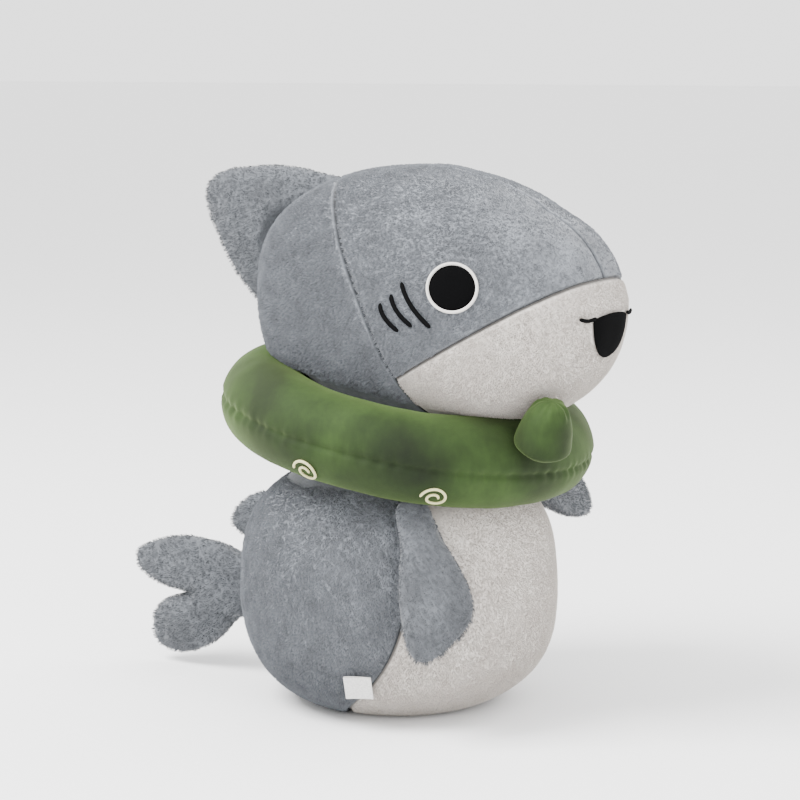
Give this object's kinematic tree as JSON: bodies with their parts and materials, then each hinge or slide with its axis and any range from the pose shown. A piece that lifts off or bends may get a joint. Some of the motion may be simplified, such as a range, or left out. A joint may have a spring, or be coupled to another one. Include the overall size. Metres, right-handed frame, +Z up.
{
  "type": "plush shark",
  "caption": "Sitting plush shark with a round body, blunt head on a soft neck, stuffed velvet collar ring, eyes, gill strokes, fins and tail.",
  "frame": {"origin": "centre of the flat base, on the surface the toy sits on", "axes": "+Z up, -Y out of the snout, -X to the toy's right side"},
  "size_m": [0.3643, 0.4563, 0.441],
  "materials": {
    "grey_plush": "short soft pile, matte with a light sheen",
    "white_plush": "short soft pile, matte",
    "green_velvet": "short-nap velvet with a brushed sheen",
    "black_felt": "smooth matte felt",
    "black_thread": "satin-stitch embroidery",
    "white_thread": "satin-stitch embroidery",
    "cream_thread": "satin-stitch embroidery",
    "label_tape": "woven satin tape",
    "polyester_stuffing": "loose white fibre"
  },
  "bodies": {
    "torso": {"body_stuffing": "polyester_stuffing", "belly_panel": "white_plush", "back_panel_right": "grey_plush", "back_panel_left": "grey_plush", "base_panel": "grey_plush"},
    "neck": {"neck_stuffing": "polyester_stuffing"},
    "head": {"head_stuffing": "polyester_stuffing", "head_back_right": "grey_plush", "head_back_left": "grey_plush", "face_right": "grey_plush", "face_left": "grey_plush", "jaw_panel": "white_plush", "eye_right": "black_felt", "eye_left": "black_felt", "eye_ring_right": "white_thread", "eye_ring_left": "white_thread", "gill_stitches_right": "black_thread", "gill_stitches_left": "black_thread", "mouth_patch": "black_thread", "mouth_line": "black_thread"},
    "collar": {"collar_stuffing": "polyester_stuffing", "collar_top_panel": "green_velvet", "collar_bottom_panel": "green_velvet", "collar_swirls": "cream_thread"},
    "collar_knob": {"knob_stuffing": "polyester_stuffing", "knob_cover": "green_velvet"},
    "head_fin": {"head_fin_stuffing": "polyester_stuffing", "head_fin_right_panel": "grey_plush", "head_fin_left_panel": "grey_plush"},
    "back_fin": {"back_fin_stuffing": "polyester_stuffing", "back_fin_cover": "grey_plush"},
    "tail": {"tail_stuffing": "polyester_stuffing", "tail_right_panel": "grey_plush", "tail_left_panel": "grey_plush"},
    "flipper_right": {"flipper_right_stuffing": "polyester_stuffing", "flipper_right_cover": "grey_plush"},
    "flipper_left": {"flipper_left_stuffing": "polyester_stuffing", "flipper_left_cover": "grey_plush"},
    "label": {"care_label": "label_tape"}
  },
  "joints": [
    {"name": "head_nod", "type": "hinge", "parent": "torso", "child": "neck", "pos_m": [0, -0.01, 0.232], "axis": [1, 0, 0], "range_deg": [-15, 0], "stiffness_Nm_per_rad": 0.8},
    {"name": "head_turn", "type": "hinge", "parent": "neck", "child": "head", "pos_m": [0, -0.01, 0.232], "axis": [0, -0.1908, 0.9816], "range_deg": [-35, 35], "stiffness_Nm_per_rad": 0.5},
    {"name": "collar_turn", "type": "hinge", "parent": "head", "child": "collar", "pos_m": [0, -0.01, 0.232], "axis": [0, -0.1908, 0.9816], "range_deg": [-300, 0]},
    {"name": "knob_flop", "type": "hinge", "parent": "collar", "child": "collar_knob", "pos_m": [-0.05617, -0.16033, 0.23847], "axis": [0.5, -0.8501, -0.1653], "range_deg": [0, 25], "stiffness_Nm_per_rad": 0.02},
    {"name": "head_fin_bend", "type": "hinge", "parent": "head", "child": "head_fin", "pos_m": [0, 0.10672, 0.38077], "axis": [0, -0.4181, 0.9084], "range_deg": [-25, 25], "stiffness_Nm_per_rad": 0.15},
    {"name": "back_fin_bend", "type": "hinge", "parent": "torso", "child": "back_fin", "pos_m": [0, 0.1305, 0.1395], "axis": [0, -0.1853, 0.9827], "range_deg": [-25, 25], "stiffness_Nm_per_rad": 0.02},
    {"name": "tail_wag", "type": "hinge", "parent": "torso", "child": "tail", "pos_m": [0, 0.132, 0.078], "axis": [0, 0, 1], "range_deg": [-30, 30], "stiffness_Nm_per_rad": 0.1},
    {"name": "right_flipper_lift", "type": "hinge", "parent": "torso", "child": "flipper_right", "pos_m": [-0.10363, -0.0699, 0.176], "axis": [-0.5592, 0.829, 0], "range_deg": [0, 70], "stiffness_Nm_per_rad": 0.03},
    {"name": "left_flipper_swing", "type": "hinge", "parent": "torso", "child": "flipper_left", "pos_m": [0.10431, -0.06518, 0.164], "axis": [-0.1304, -0.336, -0.9328], "range_deg": [-15, 40], "stiffness_Nm_per_rad": 0.03},
    {"name": "label_flap", "type": "hinge", "parent": "torso", "child": "label", "pos_m": [-0.11365, -0.03869, 0.03634], "axis": [-0.4517, -0.1538, 0.8788], "range_deg": [0, 80], "stiffness_Nm_per_rad": 0.0008}
  ]
}
